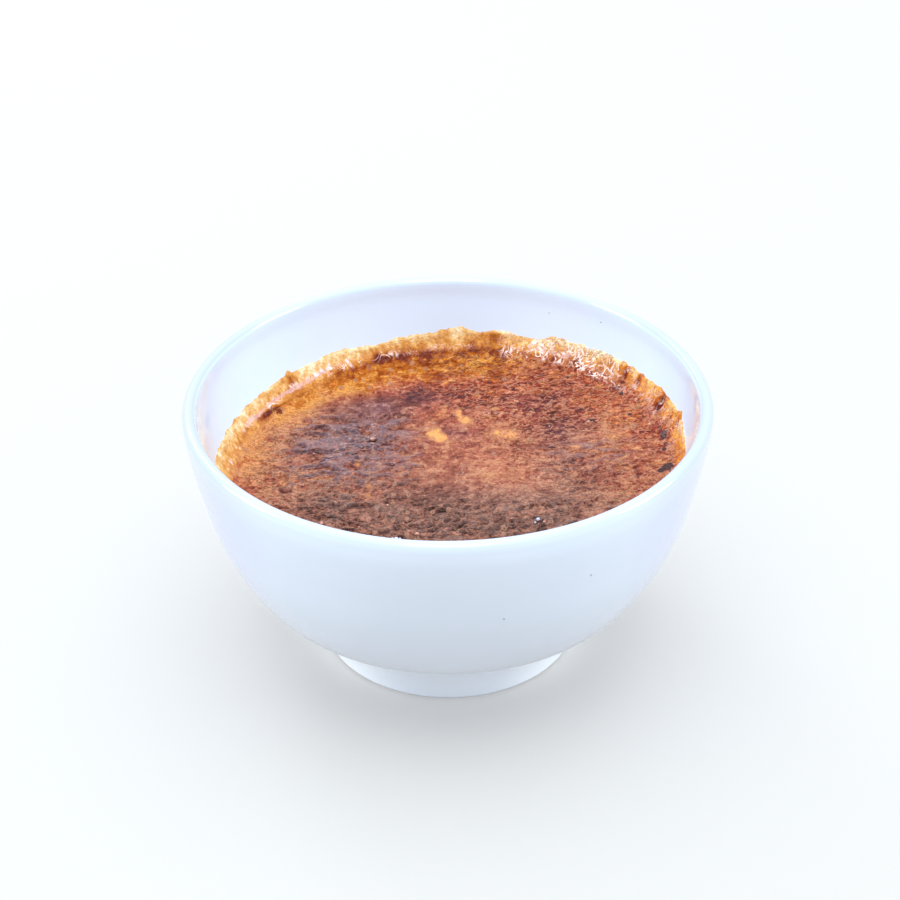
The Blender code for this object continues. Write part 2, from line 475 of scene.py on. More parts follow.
def rippled_share(x, y):
    """How strongly the crust is rippled: most on the left and in front, least far back."""
    left = smoothstep(2 * MM, -22 * MM, x) * smoothstep(30 * MM, 18 * MM, y)
    front = smoothstep(-6 * MM, -18 * MM, y)
    right = 0.5 * smoothstep(14 * MM, 30 * MM, x) * smoothstep(16 * MM, 6 * MM, y)
    margin = smoothstep(50 * MM, 37 * MM, np.hypot(x, y))
    return np.clip(0.08 + np.maximum(np.maximum(left, front), right) * margin, 0, 1)


def patches(x, y, places):
    """Soft round patches at the listed places, added up."""
    total = np.zeros_like(x)
    for place in places:
        across, away, half_width, half_depth = (value * MM for value in place[:4])
        strength = place[4] if len(place) > 4 else 1.0
        square = ((x - across) / half_width) ** 2 + ((y - away) / half_depth) ** 2
        total += strength * np.exp(-square)
    return total


def ripples(x, y):
    """Long low waves across the view with small ones over them, 0 in the hollows and 1 on the crests."""
    bend_x = 1.6 * MM * fractal_noise(x, y, 5 * MM, 11, 3)
    bend_y = 1.1 * MM * fractal_noise(x * 0.6, y, 5 * MM, 15, 3)
    long_waves = smoothstep(0.55, 1.0, ridges((x + bend_x) * 0.34, y + bend_y, 4.2 * MM, 21))
    short_waves = smoothstep(0.5, 1.0, ridges((x + bend_x) * 0.45, y + 1.4 * bend_y, 2.0 * MM, 25))
    broken = np.clip(0.5 + 1.3 * fractal_noise(x * 0.7, y, 8 * MM, 17, 2), 0, 1)
    return np.clip(0.75 * long_waves * broken + 0.4 * short_waves * (1.2 - broken), 0, 1)


def facing(x, y):
    """How steeply the ripples face the camera, about -1 to 1: negative on their far slopes."""
    step = 0.35 * MM
    rise = ripples(x, y + step) - ripples(x, y - step)
    return np.clip(3.0 * rise, -1, 1)


def crust_relief(x, y):
    bend = 1.0 * MM * fractal_noise(x, y, 4 * MM, 13, 2)
    wrinkles = ridges(x * 0.5, y + bend, 1.5 * MM, 31) ** 2 - 0.5
    swell = fractal_noise(x, y, 12 * MM, 51, 2)
    share = rippled_share(x, y)
    blister = patches(x, y, PALE_SPOTS)
    pit = patches(x, y, BURNT_SPECKS)
    relief = 1.5 * share * (ripples(x, y) - 0.5) + 0.2 * (0.35 + share) * wrinkles + 0.35 * swell
    return (relief + 0.12 * blister + 0.25 * pit) * MM


def crust_points(x, y):
    """Places on the crust's surface, its ripples leaning towards the camera."""
    azimuth = np.arctan2(x, y)
    share_out = np.hypot(x, y) / (wall_radius(crust_plane(azimuth, 1.0)) - FILLET_WIDTH)
    relief = crust_relief(x, y)
    lean = RIPPLE_LEAN * relief * smoothstep(1.0, 0.94, share_out)
    return np.column_stack((x, y - lean, crust_plane(azimuth, share_out) + relief))


def folds(azimuth, climb, places):
    """Soft patches at the listed places of the skin, added up."""
    total = np.zeros_like(azimuth)
    degrees = np.degrees(azimuth)
    for around, up, half_width, half_height, strength in places:
        square = ((degrees - around) / half_width) ** 2 + ((climb / MM - up) / half_height) ** 2
        total += strength * np.exp(-square)
    return total


def skin_top(azimuth):
    """The ragged upper edge of the skin."""
    along = azimuth * RIM_RADIUS
    fingers = np.maximum(fractal_noise(along, 0 * along, 3 * MM, 63, 3), -0.3)
    ragged = 0.55 * fingers + 0.3 * fractal_noise(along, 0 * along, 11 * MM, 65, 2)
    degrees = np.degrees(azimuth)
    for around, half_width, rise in EDGE_RISES:
        ragged += rise * np.exp(-((degrees - around) / half_width) ** 2)
    return crust_plane(azimuth, 1.0) + SKIN_HEIGHT + ragged * MM


def pleats(azimuth, climb):
    """Folds that run up the skin, about -1 to 1: deepest on the right, faint on the left."""
    along = azimuth * RIM_RADIUS
    folded = 0.35 + 0.65 * smoothstep(-0.5, 0.5, np.sin(azimuth))
    lean = 0.5 * MM * fractal_noise(along, climb, 4 * MM, 71, 2)
    crumpled = fractal_noise(along + lean, climb * 0.45, 2.0 * MM, 73, 3)
    listed = folds(azimuth, climb, PALE_FOLDS) - folds(azimuth, climb, BROWN_FOLDS)
    return folded * crumpled + 0.9 * listed


def skin_ring(azimuth, share_up):
    """One ring of the skin: 0 where it leaves the crust and 1 at its upper edge."""
    base = crust_plane(azimuth, 1.0)
    height = base + (skin_top(azimuth) - base) * share_up ** 1.5
    climb = height - base
    thickness = (1.2 - 0.9 * share_up) * (1 + 0.6 * pleats(azimuth, climb)) + folds(azimuth, climb, LEDGE)
    thickness *= smoothstep(0.0, 0.3, share_up) * MM
    inset = FILLET_WIDTH * (1 - share_up) ** 2.5 + thickness - TUCK * smoothstep(0.9, 1.0, share_up)
    radius = wall_radius(height) - inset
    x, y = radius * np.sin(azimuth), radius * np.cos(azimuth)
    return x, y, height + crust_relief(x, y) * (1 - share_up) ** 2


def side_ring(azimuth, share_down):
    """One ring of the side, just inside the porcelain, from the skin's edge to the floor."""
    height = skin_top(azimuth) * (1 - share_down) + (INNER_WALL[0, 1] - TUCK) * share_down
    radius = wall_radius(height) + TUCK
    return radius * np.sin(azimuth), radius * np.cos(azimuth), height


def skin_climb(x, y, z):
    """The height above the skin's foot that marks are placed by, lower for points off the wall."""
    foot = crust_plane(np.arctan2(x, y), 1.0)
    inward = wall_radius(np.maximum(z, foot)) - np.hypot(x, y)
    return z - foot - MARK_SLOPE * inward


def amber_by_wall(x, y, azimuth):
    """Amber caramel along the wall at the back left, reaching in furthest at the back."""
    back_left = band(azimuth, -95, -70, 10, 34) * (1 - 0.45 * smoothstep(-46, -62, azimuth))
    wall_distance = CRUST_RADIUS - np.hypot(x, y) + 4 * MM * fractal_noise(x, y, 9 * MM, 87, 3)
    deep = 3 * MM * band(azimuth, -40, -15, 45, 75)
    return back_left * smoothstep(14 * MM, 4 * MM, wall_distance - deep)


def ash_share(x, y, amber):
    """How greyish the crust is: most in front, less at the sides and least where it is amber."""
    ashen = 0.4 * smoothstep(40 * MM, 14 * MM, y + 0.3 * x) + 0.4 * smoothstep(0, -16 * MM, y)
    return ashen * (1 - 0.9 * amber) * (1 - 0.5 * smoothstep(24 * MM, 42 * MM, np.abs(x)))


def back_seam(around, climb):
    """The broken dark seam between crust and skin at the back."""
    seam = 0.45 + 0.5 * fractal_noise(around * RIM_RADIUS, climb * 0.5, 3.5 * MM, 95, 3)
    at_back = band(np.degrees(around), -36, -24, 22, 34)
    return np.clip(seam, 0, 1) * at_back * np.exp(-((climb / MM + 0.6) / 1.1) ** 2)


def foot_shade(azimuth, climb):
    """The browner foot of the skin, at the back left and on the right."""
    around = band(azimuth, -50, -42, 10, 18) + band(azimuth, 46, 54, 82, 90)
    return around * band(climb, -3.6 * MM, -2.0 * MM, 0.4 * MM, 1.6 * MM)


def curl_highlight_share(azimuth, climb):
    """Where the skin carries painted highlights in curls: at the back right, and in a thin line along the
    ledge.
    """
    right = band(azimuth, 13, 20, 80, 90) * (1 - 0.75 * smoothstep(46, 58, azimuth))
    right *= band(climb, -2.2 * MM, 0.2 * MM, 3.6 * MM, 5.2 * MM)
    ledge_climb = 1.8 - 0.7 * smoothstep(-45, -30, azimuth)
    along_ledge = band(azimuth, -74, -64, -10, 14) * np.exp(-((climb / MM - ledge_climb) / 0.8) ** 2)
    return right + 0.6 * along_ledge


def lustre(x, y):
    """How strong the painted sheen and the gloss of the ripples' crests are: less in front and at the far
    left.
    """
    return (1 - 0.5 * smoothstep(4 * MM, -10 * MM, y)) * (1 - 0.6 * smoothstep(-28 * MM, -40 * MM, x))


def custard_looks(x, y, z, share_up):
    """What the custard's material reads at each of its points, under the names it reads them by."""
    bent_x = x + 2.0 * MM * fractal_noise(x, y, 8 * MM, 81, 3)
    bent_y = y + 1.5 * MM * fractal_noise(x, y, 8 * MM, 83, 3)
    around = np.arctan2(x, y)
    azimuth = np.degrees(around)
    climb = skin_climb(x, y, z)
    share = rippled_share(x, y)
    towards = facing(x, y)
    wall_amber = amber_by_wall(x, y, azimuth)
    spread_amber = 0.35 * smoothstep(0.1, 0.6, fractal_noise(x, y, 7 * MM, 89, 3)) * (1 - share)
    amber = np.clip(wall_amber + spread_amber, 0, 1)
    wrinkled = smoothstep(4 * MM, 26 * MM, x + 0.5 * y) * (1 - share)
    seam = back_seam(around, climb)
    brown = BASE_BROWN + 0.19 * fractal_noise(x, y, 5 * MM, 85, 3)
    brown += patches(bent_x, bent_y, DARK_PATCHES) - patches(bent_x, bent_y, WARM_PATCHES)
    # Painted shade on the near slopes of the ripples, which face the camera, with the rippled crust a
    # little paler overall
    brown += 0.42 * share * np.maximum(towards, 0) - 0.19 * share
    brown += 0.45 * seam + 0.10 * foot_shade(azimuth, climb) - 0.05 * wall_amber - 0.05 * wrinkled
    right = band(azimuth, 15, 45, 90, 115)
    near_wall = right * band(climb, -5 * MM, -2 * MM, 1.2 * MM, 3.4 * MM)
    ashen = ash_share(x, y, wall_amber) + patches(bent_x, bent_y, ASHEN_PATCHES)
    return {
        "brown": brown,
        "fold": folds(around, climb, PALE_FOLDS) - folds(around, climb, BROWN_FOLDS) - 0.6 * seam,
        "ledge": folds(around, climb, LEDGE),
        "gloss_and_painted_glint": folds(around, climb, GLOSS_AND_PAINTED_GLINT_FOLDS),
        "ash": np.clip(ashen, 0, 1),
        "mauve": patches(bent_x, bent_y, MAUVE_PATCHES),
        "rippled": share,
        "amber": amber,
        "burnt": patches(x, y, BURNT_SPECKS),
        "pale": patches(x, y, PALE_SPOTS),
        # painted sheen on the crests and far slopes of the ripples, which also sets their gloss
        "gloss_and_painted_sheen": lustre(x, y) * share * (0.6 * np.maximum(-towards, 0) + 1.1 * ripples(x, y)),
        "wrinkled": wrinkled,
        "crinkled": np.maximum(0.10 + 0.6 * wrinkled + 0.3 * share, 0.5 * near_wall) * (1 - 0.7 * amber),
        "painted_curl_highlight": curl_highlight_share(azimuth, climb),
        "orange": band(azimuth, 44, 56, 90, 104),
        "skin": share_up - 0.1 * right,
    }


def stitched_faces(quads, rim, first, rings, centre):
    """The crust's quads, the bands from its rim through each ring, and the fan that closes them."""
    faces = quads.tolist()
    inner = rim
    for i in range(rings):
        outer = first + i * len(rim) + np.arange(len(rim))
        faces += np.column_stack((inner, outer, np.roll(outer, -1), np.roll(inner, -1))).tolist()
        inner = outer
    faces += np.column_stack((inner, np.full(len(rim), centre), np.roll(inner, -1))).tolist()
    return faces


def make_custard():
    x, y, quads, rim = disc_grid(CRUST_RINGS)
    azimuth = np.arctan2(x, y)
    edge = wall_radius(crust_plane(azimuth, 1.0)) - FILLET_WIDTH
    crust = crust_points(x * edge, y * edge)
    around = azimuth[rim]
    rings = [skin_ring(around, (i + 1) / SKIN_RINGS) for i in range(SKIN_RINGS)]
    rings += [side_ring(around, (i + 1) / SIDE_RINGS) for i in range(SIDE_RINGS)]
    sides = [np.column_stack(ring) for ring in rings]
    vertices = np.vstack([crust] + sides + [(0, 0, FLOOR_HEIGHT - TUCK)])
    share_up = np.zeros(len(vertices))
    for i in range(len(rings)):
        first = len(crust) + i * len(rim)
        share_up[first:first + len(rim)] = min(1.0, (i + 1) / SKIN_RINGS)
    mesh = bpy.data.meshes.new("baked_custard")
    faces = stitched_faces(quads, rim, len(crust), len(rings), len(vertices) - 1)
    mesh.from_pydata(vertices.tolist(), [], faces)
    for name, values in custard_looks(*vertices.T, share_up).items():
        attribute = mesh.attributes.new(name, "FLOAT", "POINT")
        attribute.data.foreach_set("value", values.astype(np.float32))
    mesh.shade_smooth()
    return link(bpy.data.objects.new("baked_custard", mesh))


# ---------------------------------------------------------------- sugar

# Places on the crust and radius, in millimetres
BUBBLES = (
    (-17.3, 15.8, 0.75),
    (11.4, 22.8, 0.45),
    (32.2, 16.6, 0.50),
    (46.0, 13.6, 0.45),
    (-45.6, 22.6, 0.50),
    (20.4, -21.0, 0.40),
    (-6.8, -22.4, 0.55),
    (-27.5, -17.4, 0.50),
)
BURST_BUBBLES = (
    (-17.1, 21.0, 0.65),
    (2.8, -0.8, 0.55),
    (9.0, 23.4, 0.60),
    (-12.4, 4.8, 0.50),
    (-22.0, -19.5, 0.60),
)
# Pale sugar grains on the crust, whose pale colour is a painted highlight standing for a glint there
GLINTING_SUGAR_GRAINS = (
    (19.1, -20.2, 0.45),
    (18.4, -20.9, 0.30),
)
SMALL_BUBBLES = 90
SMALL_BUBBLE_SPREAD = 45
SMALL_BUBBLE_RADII = (0.14, 0.30)
RING_BEADS = 9
RING_BEAD_RADIUS = 0.17
# Places in the bowl's frame and radius, in millimetres
LIP_GRAINS = (
    (-10.2, -54.1, 60.86, 0.42),
    (-9.5, -54.2, 60.86, 0.30),
    (-10.9, -54.0, 60.84, 0.26),
)
SPECKS = (
    (10.8, -53.0, 40.3, 0.18),
    (28.3, -47.9, 47.2, 0.16),
    (36.4, 40.3, 56.8, 0.17),
    (24.6, 48.2, 55.2, 0.15),
)


def make_beads(name, beads):
    """Uneven little lumps in one mesh, each given by its place, its radius and its height."""
    shape = bmesh.new()
    for place, radius, height in beads:
        size = Matrix.Translation(place) @ Matrix.Diagonal((radius, radius, height, 1))
        lump = bmesh.ops.create_icosphere(shape, subdivisions=2, radius=1, matrix=size)["verts"]
        for vertex in lump:
            uneven = 1 + 0.3 * noise.noise(vertex.co / (0.35 * MM))
            vertex.co = Vector(place) + (vertex.co - Vector(place)) * uneven
    mesh = bpy.data.meshes.new(name)
    shape.to_mesh(mesh)
    shape.free()
    mesh.shade_smooth()
    return link(bpy.data.objects.new(name, mesh))


def on_crust(places):
    """Beads that sit half sunk in the crust, from their x, y and radius in millimetres."""
    x, y, radius = np.array(places).T * MM
    return [(tuple(point), size, 0.8 * size) for point, size in zip(crust_points(x, y), radius)]


def ring_places(across, away, radius):
    """The beads around the rim of a burst bubble."""
    turn = np.arange(RING_BEADS) * 2 * np.pi / RING_BEADS
    places = zip(across + radius * np.cos(turn), away + radius * np.sin(turn))
    return [(x, y, RING_BEAD_RADIUS) for x, y in places]


def make_bubbles():
    chance = np.random.default_rng(7)
    angle = chance.uniform(0, 2 * np.pi, SMALL_BUBBLES)
    distance = SMALL_BUBBLE_SPREAD * np.sqrt(chance.uniform(0, 1, SMALL_BUBBLES))
    radius = chance.uniform(*SMALL_BUBBLE_RADII, SMALL_BUBBLES)
    places = list(BUBBLES) + list(zip(distance * np.cos(angle), distance * np.sin(angle), radius))
    for across, away, ring_radius in BURST_BUBBLES:
        places += ring_places(across, away, ring_radius)
    return make_beads("sugar_bubbles", on_crust(places))


def in_bowl(places, flatness):
    """Beads from their x, y, z and radius in millimetres, their height a share of the radius."""
    return [((x * MM, y * MM, z * MM), size * MM, flatness * size * MM) for x, y, z, size in places]


def make_grains():
    return make_beads("sugar_grains", on_crust(GLINTING_SUGAR_GRAINS) + in_bowl(LIP_GRAINS, 0.55))


def make_specks():
    return make_beads("glaze_specks", in_bowl(SPECKS, 1))


# ---------------------------------------------------------------- materials

def linear(colour):
    """A colour of 0 to 255 per channel, as the light values that a shader takes."""
    share = np.array(colour) / 255
    return tuple(np.where(share <= 0.04045, share / 12.92, ((share + 0.055) / 1.055) ** 2.4)) + (1.0,)


class Finish:
    """A material with a Principled shader, and short ways to add the nodes that feed it."""

    def __init__(self, name):
        self.material = bpy.data.materials.new(name)
        self.material.use_nodes = True
        self.tree = self.material.node_tree
        self.shader = self.tree.nodes["Principled BSDF"]
        self.place = self.node("ShaderNodeTexCoord").outputs["Object"]

    def node(self, kind, inputs=(), **settings):
        node = self.tree.nodes.new(kind)
        for name, value in settings.items():
            setattr(node, name, value)
        for socket, value in dict(inputs).items():
            self.put(node.inputs[socket], value)
        return node

    def put(self, socket, value):
        if isinstance(value, bpy.types.NodeSocket):
            self.tree.links.new(value, socket)
        else:
            socket.default_value = value

    def set(self, **inputs):
        for name, value in inputs.items():
            self.put(self.shader.inputs[name.replace("_", " ")], value)

    def value(self, attribute):
        return self.node("ShaderNodeAttribute", attribute_name=attribute).outputs["Fac"]

    def noise(self, size, detail=3.0, stretch=(1, 1, 1), offset=0.0, twist=0.0):
        """Noise of 0 to 1 with bumps of a size, drawn out by the stretch along each axis."""
        move = {"Vector": self.place, "Location": (offset,) * 3, "Scale": [1 / part for part in stretch]}
        place = self.node("ShaderNodeMapping", move).outputs[0]
        inputs = {"Vector": place, "Scale": 1 / size, "Detail": detail, "Roughness": 0.6}
        inputs["Distortion"] = twist
        return self.node("ShaderNodeTexNoise", inputs).outputs["Fac"]

    def crease(self, *settings):
        """Fine lines between the bumps of a noise: 0 on the lines, more the further from them."""
        return self.math("ABSOLUTE", self.add(0.0, self.noise(*settings), 2.0))

    def math(self, operation, first, second=0.0, third=0.0):
        inputs = {0: first, 1: second, 2: third}
        return self.node("ShaderNodeMath", inputs, operation=operation).outputs[0]

    def add(self, base, value, strength=1.0, middle=0.5):
        """base + (value - middle) * strength"""
        shifted = self.math("MULTIPLY_ADD", value, strength, -middle * strength)
        return self.math("ADD", base, shifted)

    def ragged(self, value, *parts):
        """A value made uneven by noises, each given with its strength."""
        share = 1.0
        for texture, strength in parts:
            share = self.add(share, texture, strength)
        return self.math("MULTIPLY", value, share)

    def step(self, value, low, high, to_low=0.0, to_high=1.0):
        inputs = {0: value, 1: low, 2: high, 3: to_low, 4: to_high}
        return self.node("ShaderNodeMapRange", inputs, interpolation_type="SMOOTHSTEP").outputs[0]

    def mix(self, factor, first, second, blend="MIX"):
        node = self.node("ShaderNodeMix", data_type="RGBA", blend_type=blend)
        for socket, value in zip((0, 6, 7), (factor, first, second)):
            self.put(node.inputs[socket], value)
        return node.outputs[2]

    def between(self, factor, first, second):
        """A mix of two colours of 0 to 255 per channel."""
        return self.mix(factor, linear(first), linear(second))

    def tinted(self, colour, tint):
        return self.mix(1.0, colour, tint, "MULTIPLY")

    def ramp(self, factor, stops):
        node = self.node("ShaderNodeValToRGB", {"Fac": factor})
        elements = node.color_ramp.elements
        while len(elements) < len(stops):
            elements.new(0.5)
        for element, (position, colour) in zip(elements, stops):
            element.position = position
            element.color = linear(colour)
        return node.outputs["Color"]

    def bump(self, height, distance):
        inputs = {"Height": height, "Distance": distance, "Strength": 1.0}
        return self.node("ShaderNodeBump", inputs).outputs["Normal"]


# Colours from pale to burnt on the crust, and from brown to pale on the skin
CRUST_TONES = (
    (0.0, (206, 132, 86)),
    (0.22, (182, 92, 58)),
    (0.42, (154, 62, 40)),
    (0.6, (118, 44, 33)),
    (0.8, (90, 42, 36)),
    (1.0, (72, 37, 38)),
)
AMBER_TONES = (
    (0.0, (214, 140, 66)),
    (0.25, (181, 99, 28)),
    (0.5, (148, 64, 12)),
    (0.75, (104, 35, 10)),
    (1.0, (58, 16, 12)),
)
ASHEN_TONES = (
    (0.0, (154, 108, 92)),
    (0.25, (130, 88, 76)),
    (0.5, (104, 68, 58)),
    (0.75, (74, 44, 38)),
    (1.0, (46, 26, 24)),
)
SKIN_TONES = (
    (0.0, (84, 24, 12)),
    (0.2, (136, 58, 18)),
    (0.4, (172, 96, 32)),
    (0.6, (202, 130, 62)),
    (0.8, (222, 168, 104)),
    (1.0, (240, 212, 170)),
)

# Painted shade on the glaze from the foot to the lip: a dark band just above the foot, under the bowl's
# belly, and a darker lip
GLAZE_PAINTED_SHADES = (
    (0.0, (255, 255, 255)),
    (0.14, (250, 250, 250)),
    (0.165, (196, 194, 195)),
    (0.20, (216, 213, 214)),
    (0.25, (246, 243, 243)),
    (0.30, (255, 255, 255)),
    (0.975, (255, 255, 255)),
    (0.988, (226, 225, 236)),
)


def custard_textures(f):
    """The noises that several parts of the custard's look share."""
    return SimpleNamespace(
        grain=f.noise(0.9 * MM, 6.0, (1, 1.3, 1)),
        fine=f.noise(0.28 * MM, 2.0, (1, 1.4, 1), 15.0),
        lumps=f.noise(2.4 * MM, 4.0, (1.3, 1.2, 1), 3.0),
        streaks=f.noise(1.2 * MM, 3.0, (1, 1, 3), 7.0),
        wrinkle=f.crease(1.5 * MM, 2.0, (1.6, 1.1, 1), 5.0, 0.6),
        speckle=f.crease(0.9 * MM, 3.0, (1.1, 1.1, 1), 13.0),
    )


def browning(f, texture):
    """How brown the crust is, from 0 for pale caramel to 1 for burnt."""
    even = f.value("brown")
    brown = f.add(f.add(even, texture.grain, 0.9), texture.lumps, 1.0)
    flakes = f.noise(1.4 * MM, 3.0, (1.5, 1.1, 1), 27.0, 0.6)
    brown = f.math("ADD", brown, f.step(flakes, 0.555, 0.60, 0.0, -0.28))
    brown = f.math("ADD", brown, f.step(flakes, 0.45, 0.38, 0.0, 0.09))
    brown = f.add(brown, texture.speckle, 0.55, 0.2)
    wrinkles = f.add(0.0, texture.wrinkle, 0.8, 0.2)
    brown = f.math("MULTIPLY_ADD", wrinkles, f.value("wrinkled"), brown)
    calm = f.math("MULTIPLY_ADD", f.value("amber"), -0.15, 1.0)
    brown = f.math("MULTIPLY_ADD", f.math("SUBTRACT", brown, even), calm, even)
    darkest = f.math("MULTIPLY_ADD", f.value("rippled"), 0.3, 0.78)
    return f.math("MINIMUM", brown, darkest)


def caramel(f, texture):
    """The crust's colour where it is browned, amber, greyish or mauve, with painted shade in its rills."""
    brown = browning(f, texture)
    crust = f.mix(f.value("amber"), f.ramp(brown, CRUST_TONES), f.ramp(brown, AMBER_TONES))
    crust = f.mix(f.value("ash"), crust, f.ramp(brown, ASHEN_TONES))
    crust = f.mix(f.value("mauve"), crust, f.tinted(crust, (0.68, 0.92, 1.6, 1)))
    rill = f.crease(1.2 * MM, 4.0, (2.4, 1, 1), 17.0)
    on_ripples = f.step(f.value("rippled"), 0.0, 0.6, 0.35)
    lined = f.math("MAXIMUM", on_ripples, f.math("MULTIPLY", f.value("wrinkled"), 1.2))
    # Painted shade along thin lines over the ripples and wrinkles
    painted_rill_shade = f.math("MULTIPLY", f.step(rill, 0.13, 0.0, 0.0, 0.65), lined)
    return f.mix(painted_rill_shade, crust, linear((56, 25, 22)))


def foam_rings(f, away):
    """The rings of tiny burst bubbles: few at the back and more in front."""
    flat = f.node("ShaderNodeMapping", {"Vector": f.place, "Scale": (1, 0.8, 0)}).outputs[0]
    cell = f.node("ShaderNodeTexVoronoi", {"Vector": flat, "Scale": 1 / (1.7 * MM)}).outputs
    ring = f.step(f.math("ABSOLUTE", f.add(0.0, cell["Distance"], 1.0, 0.22)), 0.19, 0.06)
    chance = f.node("ShaderNodeSeparateXYZ", {0: cell["Color"]}).outputs["X"]
    chance = f.math("ADD", chance, f.step(away, 0.0, -16 * MM, 0.0, 0.26))
    return f.math("MULTIPLY", ring, f.step(chance, 0.86, 0.92, 0.0, 0.75))


def crust_colour(f, texture):
    """The caramel with painted sheen on its crests, and its pale spots, foam and fine grain."""
    crust = caramel(f, texture)
    # Painted sheen on the ripples' crests: taupe in front and lilac further back
    gloss_and_painted_sheen = f.ragged(f.value("gloss_and_painted_sheen"), (texture.grain, 3.0), (texture.speckle, -0.8))
    away = f.node("ShaderNodeSeparateXYZ", {0: f.place}).outputs["Y"]
    painted_sheen_colour = f.between(f.step(away, -8 * MM, 8 * MM), (116, 86, 76), (120, 92, 98))
    crust = f.mix(f.step(gloss_and_painted_sheen, 0.12, 0.80, 0.0, 0.72), crust, painted_sheen_colour)
    pale = f.ragged(f.value("pale"), (texture.grain, 1.6), (texture.lumps, 1.6))
    spot = f.between(f.step(pale, 0.45, 0.85), (166, 104, 70), (220, 143, 82))
    crust = f.mix(f.step(pale, 0.28, 0.55), crust, spot)
    crust = f.mix(foam_rings(f, away), crust, linear((158, 112, 90)))
    return f.tinted(crust, f.mix(texture.fine, (0.3, 0.3, 0.3, 1), (1.72, 1.72, 1.72, 1)))


def skin_colour(f, texture):
    """The baked skin: darkest in its brown folds, paler towards its edge, orange on the right."""
    tone = f.add(f.step(f.value("skin"), 0.2, 1.0, 0.38, 0.70), texture.streaks, 0.65)
    tone = f.add(tone, f.noise(2.6 * MM, 2.0, (1, 1, 1.8), 19.0), 0.5)
    tone = f.add(tone, texture.grain, 0.35)
    tone = f.add(tone, f.crease(1.6 * MM, 3.0, (1, 1, 1.6), 9.0), -0.3, 0.25)
    skin = f.ramp(f.add(tone, f.value("fold"), 0.9, 0.0), SKIN_TONES)
    return f.mix(f.value("orange"), skin, f.tinted(skin, (1.08, 0.83, 0.50, 1)))


def painted_curl_highlights(f):
    """Painted highlights in pale worm-like curls on the skin, in blotches."""
    line = f.crease(2.4 * MM, 1.0, (1, 1, 1.4), 21.0, 1.2)
    blotch = f.ragged(f.value("painted_curl_highlight"), (f.noise(3.2 * MM, 2.0, (1, 1, 1), 23.0), 9.0))
    curl = f.math("MULTIPLY", f.step(line, 0.14, 0.02), f.math("MINIMUM", blotch, 1.0))
    return f.math("MAXIMUM", curl, 0.0)


def custard_colour(f, texture, crest):
    """Crust and skin, and over them painted highlights on the crests, burnt specks, scorched folds, and
    painted highlights in the curls, on the ledge and in glints.
    """
    grain, lumps, streaks = texture.grain, texture.lumps, texture.streaks
    height = f.add(f.value("skin"), streaks, 0.5)
    colour = f.mix(f.step(height, 0.22, 0.5), crust_colour(f, texture), skin_colour(f, texture))
    # A painted highlight along the crest lines
    colour = f.mix(crest, colour, linear((196, 126, 98)))
    burnt = f.step(f.ragged(f.value("burnt"), (grain, 2.0)), 0.35, 0.55)
    soot = f.between(texture.fine, (30, 18, 22), (74, 56, 64))
    colour = f.mix(f.math("MULTIPLY", burnt, 0.9), colour, soot)
    scorched = f.step(f.ragged(f.value("fold"), (grain, 2.5), (streaks, 2.0)), -0.35, -0.75, 0.0, 0.9)
    colour = f.mix(scorched, colour, f.between(grain, (60, 14, 12), (128, 40, 18)))
    # Painted highlights in pale curls
    colour = f.mix(painted_curl_highlights(f), colour, linear((250, 212, 198)))
    # The ledge's pinkish white is a painted highlight
    ledge = f.step(f.ragged(f.value("ledge"), (grain, 2.0), (lumps, 3.0)), 0.3, 0.75, 0.0, 0.9)
    colour = f.mix(ledge, colour, f.between(grain, (168, 96, 78), (232, 184, 168)))
    # Painted glints of near white on the glossy places
    gloss_and_painted_glint = f.step(f.ragged(f.value("gloss_and_painted_glint"), (streaks, 5.0), (grain, 3.4)), 0.6, 1.0)
    return f.mix(gloss_and_painted_glint, colour, linear((230, 200, 198)))


def custard_finish():
    f = Finish("caramelised_custard")
    texture = custard_textures(f)
    # Pale crest lines: raised in the bump, and a painted highlight in the colour
    worm = f.crease(1.5 * MM, 2.0, (1.8, 1, 1.3), 11.0)
    crest = f.math("MULTIPLY", f.step(worm, 0.12, 0.02), f.value("crinkled"))
    f.set(Base_Color=custard_colour(f, texture, crest))
    f.set(Roughness=f.step(texture.grain, 0.3, 0.7, 0.35, 0.55))
    gloss = f.math("MAXIMUM", f.value("gloss_and_painted_sheen"), f.value("gloss_and_painted_glint"))
    f.set(Coat_Weight=f.step(gloss, 0.0, 1.0, 0.03, 0.8))
    f.set(Coat_Roughness=0.28, Specular_IOR_Level=0.05)
    relief = f.add(f.add(texture.grain, texture.lumps, 0.8), texture.wrinkle, -0.5)
    relief = f.add(relief, f.math("MULTIPLY", crest, 0.5))
    f.set(Normal=f.bump(relief, 0.6 * MM))
    return f.material


def bubble_finish():
    f = Finish("caramel_bubbles")
    tint = f.step(f.noise(3 * MM, 2.0), 0.35, 0.65)
    f.set(Base_Color=f.between(tint, (116, 66, 52), (196, 132, 108)))
    f.set(Roughness=f.step(f.noise(0.3 * MM, 2.0), 0.3, 0.7, 0.12, 0.30))
    f.set(Coat_Weight=0.8, Coat_Roughness=0.1)
    return f.material


def grain_finish():
    f = Finish("sugar_crystal")
    f.set(Base_Color=f.between(f.noise(0.4 * MM, 2.0), (150, 140, 166), (214, 206, 222)))
    f.set(Roughness=f.step(f.noise(0.3 * MM, 2.0), 0.3, 0.7, 0.2, 0.5))
    return f.material


def speck_finish():
    f = Finish("glaze_speck")
    f.set(Base_Color=f.between(f.noise(0.2 * MM, 2.0), (120, 108, 102), (176, 168, 164)))
    f.set(Roughness=0.4)
    return f.material


